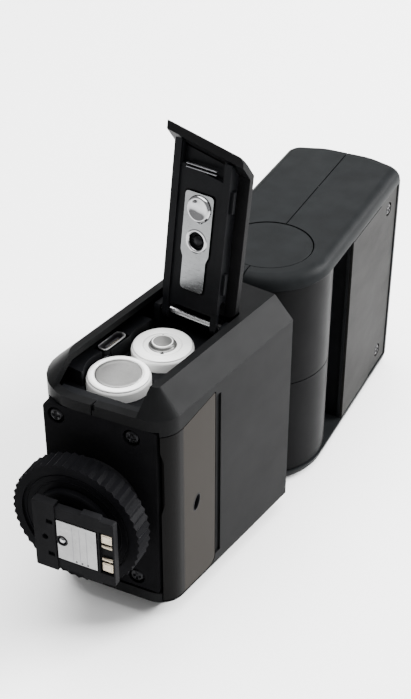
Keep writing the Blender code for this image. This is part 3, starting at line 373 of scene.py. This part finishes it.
def dress_node(name):
    """Material and modifiers of one CAD node; its shape and place stay as they are."""
    obj = NODES[name]
    obj.data.materials.clear()
    obj.data.materials.append(LOOKS[NODE_LOOK[name]])
    for polygon in obj.data.polygons:
        polygon.use_smooth = True
    weld = obj.modifiers.new("weld", "WELD")
    weld.merge_threshold = WELD_DISTANCE
    if name in EDGE_WIDTH:
        flat = obj.modifiers.new("flat", "DECIMATE")
        flat.decimate_type = "DISSOLVE"
        flat.angle_limit = FLAT_ANGLE
        soften_edges(obj, EDGE_WIDTH[name], NODE_EDGE_ANGLE)
    normals = obj.modifiers.new("normals", "WEIGHTED_NORMAL")
    normals.keep_sharp = True
    normals.weight = 60


for node_name in sorted(NODES):
    dress_node(node_name)


# ---------------------------------------------------------------- mesh helpers for the fine pieces

def fine_piece(name, mesh, frame_matrix, look, body, edge=0.0, smooth=True):
    """Put a finished bmesh, drawn in millimetres, into a local frame as a piece on a body."""
    bmesh.ops.recalc_face_normals(mesh, faces=mesh.faces)
    mesh.transform(frame_matrix @ Matrix.Scale(MM, 4))
    data = bpy.data.meshes.new(name)
    mesh.to_mesh(data)
    mesh.free()
    obj = bpy.data.objects.new(name, data)
    bpy.context.scene.collection.objects.link(obj)
    data.materials.append(LOOKS[look])
    for polygon in data.polygons:
        polygon.use_smooth = smooth
    if edge:
        soften_edges(obj, edge, PIECE_EDGE_ANGLE)
    normals = obj.modifiers.new("normals", "WEIGHTED_NORMAL")
    normals.keep_sharp = True
    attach(obj, body)


def add_turned(mesh, profile, centre=(0.0, 0.0, 0.0), segments=48):
    """Revolve a profile of (radius, height) points round the local Z axis.

    The profile closes on itself unless both of its ends lie on the axis.
    """
    on_axis = 1e-6
    rings = []
    for radius, height in profile:
        level = centre[2] + height
        if radius < on_axis:
            rings.append([mesh.verts.new((centre[0], centre[1], level))])
            continue
        ring = []
        for step in range(segments):
            angle = 2.0 * math.pi * step / segments
            x = centre[0] + radius * math.cos(angle)
            y = centre[1] + radius * math.sin(angle)
            ring.append(mesh.verts.new((x, y, level)))
        rings.append(ring)
    closed = profile[0][0] > on_axis or profile[-1][0] > on_axis
    pairs = list(zip(rings, rings[1:] + rings[:1] if closed else rings[1:]))
    for first, second in pairs:
        for step in range(segments):
            after = (step + 1) % segments
            corners = [first[step % len(first)], first[after % len(first)],
                       second[after % len(second)], second[step % len(second)]]
            unique = list(dict.fromkeys(corners))
            if len(unique) > 2:
                mesh.faces.new(unique)


def add_band(mesh, outer, inner, low, high):
    """A closed ring between two outlines with the same number of points."""
    loops = []
    for outline, level in ((outer, low), (outer, high), (inner, high), (inner, low)):
        loops.append([mesh.verts.new((x, y, level)) for x, y in outline])
    count = len(outer)
    for first, second in zip(loops, loops[1:] + loops[:1]):
        for step in range(count):
            after = (step + 1) % count
            mesh.faces.new((first[step], first[after], second[after], second[step]))


def add_plate(mesh, outline, low, high):
    """A plate between two levels."""
    bottom = [mesh.verts.new((x, y, low)) for x, y in outline]
    top = [mesh.verts.new((x, y, high)) for x, y in outline]
    mesh.faces.new(bottom)
    mesh.faces.new(top)
    count = len(outline)
    for step in range(count):
        after = (step + 1) % count
        mesh.faces.new((bottom[step], bottom[after], top[after], top[step]))


def rounded_rectangle(centre, half_x, half_y, radius, steps=5):
    """Outline of a rectangle with round corners."""
    points = []
    for quarter, (sign_x, sign_y) in enumerate(((1, 1), (-1, 1), (-1, -1), (1, -1))):
        for step in range(steps + 1):
            angle = 0.5 * math.pi * (quarter + step / steps)
            points.append((centre[0] + sign_x * (half_x - radius) + radius * math.cos(angle),
                           centre[1] + sign_y * (half_y - radius) + radius * math.sin(angle)))
    return points


def add_bar(mesh, start, end, width, low, high):
    """A straight bar between two plan points."""
    along = (Vector(end) - Vector(start)).normalized()
    side = Vector((-along.y, along.x)) * width * 0.5
    corners = [Vector(start) - side, Vector(end) - side, Vector(end) + side, Vector(start) + side]
    add_plate(mesh, [(corner.x, corner.y) for corner in corners], low, high)


def lifted(profile, level):
    """The same profile of (radius, height) points, moved up by a level."""
    return [(radius, level + height) for radius, height in profile]


def turned_piece(name, profile, frame_matrix, look, body, centre=(0.0, 0.0, 0.0), segments=48):
    """A fine piece made of one turned profile."""
    mesh = bmesh.new()
    add_turned(mesh, profile, centre, segments)
    fine_piece(name, mesh, frame_matrix, look, body)


def direction(angle):
    return Vector((math.cos(angle), math.sin(angle)))


def local_centre(node, frame_matrix):
    """Middle of a node's box in a local frame, in millimetres."""
    low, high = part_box(node)
    return (frame_matrix.inverted() @ ((low + high) * 0.5)) / MM


# ---------------------------------------------------------------- battery bay

def cell_place(node, below_top=0.0):
    """Local frame at the middle of a cell's upper end, a drop below its highest point."""
    low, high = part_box(node)
    level = high.z / MM - below_top
    return Matrix.Translation((0.5 * (low.x + high.x), 0.5 * (low.y + high.y), level * MM))


def near_cell_end():
    """Flat metal end and rounded jacket lip of the near cell."""
    place = cell_place("cell_near")
    turned_piece("cell_near_end", [
        (0.0, 0.04), (4.0, 0.05), (4.3, 0.13), (4.9, 0.17), (5.3, 0.08), (5.35, -0.3), (0.0, -0.3),
    ], place, "cell_metal", "near_cell")
    turned_piece("cell_near_lip", [
        (5.5, 0.0), (5.7, 0.14), (6.2, 0.16), (6.7, 0.04), (6.98, -0.24), (6.5, -0.4), (5.6, -0.3),
    ], place, "jacket", "near_cell", segments=64)


def far_cell_end():
    """Nub, two three-sided vents and rounded jacket lip of the far cell; the vents are small black bumps,
    painted shade standing in for the dark vent holes.
    """
    nub_height = 0.9
    vent_radius = 3.5
    vent_level = 0.06
    place = cell_place("cell_far", nub_height)
    turned_piece("cell_far_nub", [
        (0.0, 0.915), (2.0, 0.915), (2.5, 0.87), (2.84, 0.62), (2.86, 0.14), (3.05, 0.08),
        (3.2, 0.06), (3.3, -0.1), (0.0, -0.2),
    ], place, "cell_metal", "far_cell")
    # Painted shade: black bumps where the cap has its dark vent holes.
    mesh = bmesh.new()
    for angle in (-55, 125):
        turn = math.radians(angle)
        spot = (vent_radius * math.cos(turn), vent_radius * math.sin(turn), vent_level)
        add_turned(mesh, [(0.0, 0.12), (0.42, 0.11), (0.55, -0.05), (0.0, -0.1)], spot, 3)
    fine_piece("cell_far_vent_shade", mesh, place, "inner", "far_cell")
    turned_piece("cell_far_lip", [
        (4.3, 0.0), (4.7, 0.1), (5.9, 0.14), (6.6, 0.02), (6.9, -0.22), (6.4, -0.4), (4.4, -0.2),
    ], place, "jacket", "far_cell", segments=64)


def port_trim():
    """Bright rim, black surround and gold contacts of the small charging socket."""
    low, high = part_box("charge_socket")
    middle = local_centre("charge_socket", WORLD)
    half_x = 0.5 * (high.x - low.x) / MM
    half_y = 0.5 * (high.y - low.y) / MM
    top = high.z / MM
    plan = (middle.x, middle.y)
    mesh = bmesh.new()
    add_band(mesh, rounded_rectangle(plan, half_x + 0.12, half_y + 0.12, 1.0),
             rounded_rectangle(plan, half_x - 0.12, half_y - 0.12, 0.8), top - 0.1, top + 0.1)
    fine_piece("port_rim", mesh, WORLD, "satin", "flash_body", 0.04)
    mesh = bmesh.new()
    add_band(mesh, rounded_rectangle(plan, half_x + 0.25, half_y + 0.2, 1.3),
             rounded_rectangle(plan, half_x + 0.14, half_y + 0.14, 1.0), top - 1.6, top - 0.12)
    fine_piece("port_surround", mesh, WORLD, "inner", "flash_body", 0.12)
    contact_pitch = 0.85
    contact_x = plan[0] + 0.34
    mesh = bmesh.new()
    for step in range(5):
        contact = (contact_x, plan[1] + (step - 2) * contact_pitch)
        add_plate(mesh, rounded_rectangle(contact, 0.08, 0.2, 0.05, 2), top - 1.9, top - 0.42)
    fine_piece("port_contacts", mesh, WORLD, "gold", "flash_body")


def door_details():
    """Dished boss, pip, eyelet and rivet on the contact strip, and the two ribs above it."""
    inside = DOOR @ Matrix.Rotation(math.pi, 4, "Y")
    face = 2.0
    dish_place = (-0.2, -27.2, 0.0)
    pip_place = (-0.7, -24.7, 0.0)
    eyelet_place = (-0.2, -19.5, 0.0)
    turned_piece("contact_dish", lifted([
        (0.0, 0.13), (0.7, 0.15), (1.4, 0.26), (2.0, 0.48), (2.4, 0.68), (2.7, 0.7), (2.95, 0.52),
        (3.12, 0.2), (3.2, -0.05), (0.0, -0.1),
    ], face), inside, "mirror", "battery_door", dish_place, 40)
    turned_piece("contact_pip", lifted([
        (0.0, 0.55), (0.4, 0.5), (0.8, 0.28), (0.95, -0.05), (0.0, -0.1),
    ], face), inside, "mirror", "battery_door", pip_place, 20)
    turned_piece("contact_eyelet", lifted([
        (2.0, -0.45), (2.04, -0.1), (2.18, 0.05), (2.5, 0.06), (2.85, 0.01), (2.9, -0.06),
    ], face), inside, "mirror", "battery_door", eyelet_place, 36)
    turned_piece("contact_rivet", lifted([
        (0.0, -0.25), (0.7, -0.3), (1.2, -0.5), (1.45, -0.85), (1.5, -1.4), (0.0, -1.4),
    ], face), inside, "screw", "battery_door", eyelet_place, 24)
    mesh = bmesh.new()
    for y in (-36.6, -35.8):
        add_bar(mesh, (-3.6, y), (4.4, y), 0.22, face - 0.9, face - 0.2)
    fine_piece("door_ribs", mesh, inside, "score", "battery_door", 0.06)


# ---------------------------------------------------------------- foot, head and controls

def plate_marks(face):
    """Scored lines along the shoe's contact plate, and short dark ticks at its edge."""
    mesh = bmesh.new()
    for x in (2.5, 4.2, 5.9):
        add_bar(mesh, (x, -4.9), (x, 4.4), 0.14, face - 0.1, face + 0.015)
    fine_piece("plate_scores", mesh, SHOE, "score", "flash_body")
    mesh = bmesh.new()
    for x in (3.2, 4.6, 6.0):
        add_bar(mesh, (x, -5.35), (x, -4.95), 0.34, face - 0.1, face + 0.03)
    fine_piece("plate_ticks", mesh, SHOE, "inner", "flash_body")


def lock_tip(face):
    """Rounded tip of the locking pin, and the eyelet it comes out of."""
    low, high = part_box("lock_pin")
    pin = SHOE.inverted() @ low.lerp(high, 0.5) / MM
    place = (pin.x, pin.y, 0.0)
    turned_piece("lock_ball", [
        (0.0, 15.09), (0.4, 15.02), (0.72, 14.8), (0.9, 14.45), (0.96, 14.1), (0.0, 14.0),
    ], SHOE, "mirror", "pin", place, 24)
    turned_piece("lock_eyelet", lifted([
        (1.02, -0.3), (1.05, 0.05), (1.2, 0.12), (1.42, 0.04), (1.5, -0.1),
    ], face), SHOE, "inner", "flash_body", place, 28)


def pad_crowns():
    """A slightly raised crown on each of the four contact pads."""
    mesh = bmesh.new()
    for pad in range(1, 5):
        node = "contact_pad_%d" % pad
        middle = local_centre(node, SHOE)
        low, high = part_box(node)
        half = 0.5 * (high.z - low.z) / MM
        outline = rounded_rectangle((middle.x, middle.y), 0.9, max(0.18, half - 0.3), 0.15, 3)
        add_plate(mesh, outline, middle.z + 0.2, middle.z + 0.34)
    fine_piece("pad_crowns", mesh, SHOE, "gold", "flash_body", 0.05)


def foot_details():
    """Everything added to the face of the shoe foot."""
    face = local_centre("contact_plate", SHOE).z + 0.3
    plate_marks(face)
    lock_tip(face)
    pad_crowns()


def oval(grow, points=32):
    """Outline of the window's small oval hole, grown all round."""
    half_width, half_height = 1.1, 2.2
    angles = [2.0 * math.pi * step / points for step in range(points)]
    return [((half_width + grow) * math.cos(angle), (half_height + grow) * math.sin(angle))
            for angle in angles]


def sensor_hole():
    """Dark liner and floor of the small oval hole in the window: painted shade that makes the hole read
    dark.
    """
    lean = math.radians(-20)
    centre = local_centre("sensor_lens", WORLD)
    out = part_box("sensor_window")[1].x / MM
    place = Matrix.Translation((out * MM, centre.y * MM, centre.z * MM))
    side = place @ ONTO_FRONT @ Matrix.Rotation(lean, 4, "Z")
    # Painted shade: black plastic lines the hole and closes its floor so that it renders dark.
    mesh = bmesh.new()
    add_band(mesh, oval(0.12), oval(-0.18), -1.2, 0.03)
    fine_piece("sensor_shade_rim", mesh, side, "inner", "flash_body", 0.04)
    mesh = bmesh.new()
    add_plate(mesh, oval(-0.2), -1.15, -0.75)
    fine_piece("sensor_shade_floor", mesh, side, "inner", "flash_body", 0.1)


def dial_details():
    """Four plain printed ticks round the dial, and the ribs near its rim."""
    tick_start, tick_end = 7.5, 8.6
    rib_count = 36
    low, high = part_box("select_dial")
    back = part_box("back_shell")[0].x / MM
    dial = local_centre("select_dial", WORLD)
    face = Matrix.Translation((back * MM, dial.y * MM, dial.z * MM)) @ ONTO_BACK
    mesh = bmesh.new()
    for angle in (0, 90, 180, 270):
        way = direction(math.radians(angle))
        add_bar(mesh, way * tick_start, way * tick_end, 0.5, -0.05, 0.03)
    fine_piece("dial_marks", mesh, face, "print", "flash_body")
    radius = 0.5 * (high.y - low.y) / MM
    top = (back * MM - low.x) / MM
    mesh = bmesh.new()
    for step in range(rib_count):
        way = direction(2.0 * math.pi * step / rib_count)
        add_bar(mesh, way * (radius - 2.3), way * (radius - 0.6), 0.28, top - 0.1, top + 0.12)
    fine_piece("dial_ribs", mesh, face, "shell", "dial", 0.05)


def window_ridges():
    """Fine ridges across the flash window, with their crests set towards its middle."""
    face = 52.6
    margin = 0.8
    ridges = 46
    base, valley, crest = face - 0.15, face + 0.02, face + 0.16
    low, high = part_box("fresnel_lens")
    start = low.z / MM + margin
    pitch = ((high.z - low.z) / MM - 2.0 * margin) / ridges
    outline = [(base, start)]
    for step in range(ridges):
        lean = 0.8 if step < ridges / 2 else 0.2
        outline += [(valley, start + pitch * (step + 0.04)), (crest, start + pitch * (step + lean))]
    end = start + pitch * ridges
    outline += [(valley, end), (base, end)]
    mesh = bmesh.new()
    add_plate(mesh, outline, -9.7, 10.8)
    fine_piece("fresnel_ridges", mesh, HEAD @ ONTO_FRONT, "clear", "head", smooth=False)


def seam_lips():
    """Dark tongue inside the seam of the head's two shells, so nothing inside shows through."""
    start, end = 11.25, 54.0
    half_width = 0.11
    recess, depth = 0.6, 1.5
    outline = [(-half_width, start), (half_width, start), (half_width, end), (-half_width, end)]
    mesh = bmesh.new()
    add_plate(mesh, outline, recess, depth)
    add_plate(mesh, outline, WIDTH - depth, WIDTH - recess)
    fine_piece("head_seam_lips", mesh, HEAD, "inner", "head", smooth=False)


def wheel_details():
    """Turned rings on the lock wheel's face."""
    face = 8.9
    section = [(-0.22, -0.1), (-0.16, 0.12), (0.0, 0.17), (0.16, 0.12), (0.22, -0.1)]
    mesh = bmesh.new()
    for radius in (12.6, 11.1):
        add_turned(mesh, [(radius + across, face + up) for across, up in section], segments=72)
    fine_piece("wheel_rings", mesh, SHOE, "wheel", "wheel")


def key_marks():
    """One, two and three plain raised bars on the mode keys."""
    pitch = 1.5
    half_length = 0.8
    for key in range(1, 4):
        low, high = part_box("mode_button_%d" % key)
        middle = (low.x, 0.5 * (low.y + high.y), 0.5 * (low.z + high.z))
        mesh = bmesh.new()
        for bar in range(key):
            level = (bar - 0.5 * (key - 1)) * pitch
            add_bar(mesh, (-half_length, level), (half_length, level), 0.36, -0.1, 0.06)
        fine_piece("mode_button_%d_mark" % key, mesh, Matrix.Translation(middle) @ ONTO_BACK, "print",
                   "button_%d" % key, 0.04)


near_cell_end()
far_cell_end()
port_trim()
door_details()
foot_details()
sensor_hole()
dial_details()
window_ridges()
seam_lips()
wheel_details()
key_marks()


# ---------------------------------------------------------------- stage, lights and camera

CAMERA_PLACE = (0.15492, -0.22954, 0.23454)
CAMERA_AZIMUTH = math.radians(35.229)
CAMERA_ELEVATION = math.radians(34.828)
CAMERA_LENS = 71.6
LIGHT_TARGET = (0.0, 0.0, 0.03)
WORLD_STRENGTH = 0.6


def floor():
    """Plain pale floor."""
    bpy.ops.mesh.primitive_plane_add(size=6.0, location=(0.0, 0.0, 0.0))
    plane = bpy.context.object
    plane.name = "floor"
    graph = Graph("floor_pale")
    graph.wire_ramp(graph.noise(3.0, 2.0), "Base Color", [(0.3, 0.90), (0.7, 0.92)])
    graph.set(Roughness=0.9)
    plane.data.materials.append(graph.material)


def area_light(name, location, size, power):
    data = bpy.data.lights.new(name, "AREA")
    data.shape = "RECTANGLE"
    data.size, data.size_y = size
    data.energy = power
    light = bpy.data.objects.new(name, data)
    light.location = location
    aim = Vector(LIGHT_TARGET) - Vector(location)
    light.rotation_euler = aim.to_track_quat("-Z", "Y").to_euler()
    bpy.context.scene.collection.objects.link(light)


def lights():
    """Large soft light overhead; past the head, a key on the front side and a weak fill on the back."""
    area_light("overhead", (-0.1, 0.1, 1.5), (1.6, 1.6), 84.0)
    area_light("key", (0.55, 0.69, 0.50), (0.5, 0.5), 48.0)
    area_light("rear_left", (-0.55, 0.75, 0.62), (0.5, 0.4), 3.0)
    world = bpy.data.worlds.new("studio")
    bpy.context.scene.world = world
    world.use_nodes = True
    background = world.node_tree.nodes["Background"]
    background.inputs["Color"].default_value = (1.0, 1.0, 1.0, 1.0)
    background.inputs["Strength"].default_value = WORLD_STRENGTH


def camera():
    """Camera at the photograph's angle, placed from the body's frame."""
    data = bpy.data.cameras.new("camera")
    data.sensor_width = 36.0
    data.sensor_fit = "AUTO"
    data.lens = CAMERA_LENS
    data.clip_start = 0.01
    obj = bpy.data.objects.new("camera", data)
    turn = Matrix.Rotation(CAMERA_AZIMUTH, 4, "Z")
    tilt = Matrix.Rotation(math.radians(90.0) - CAMERA_ELEVATION, 4, "X")
    obj.matrix_world = BODY @ Matrix.Translation(CAMERA_PLACE) @ turn @ tilt
    bpy.context.scene.collection.objects.link(obj)
    bpy.context.scene.camera = obj


floor()
lights()
camera()
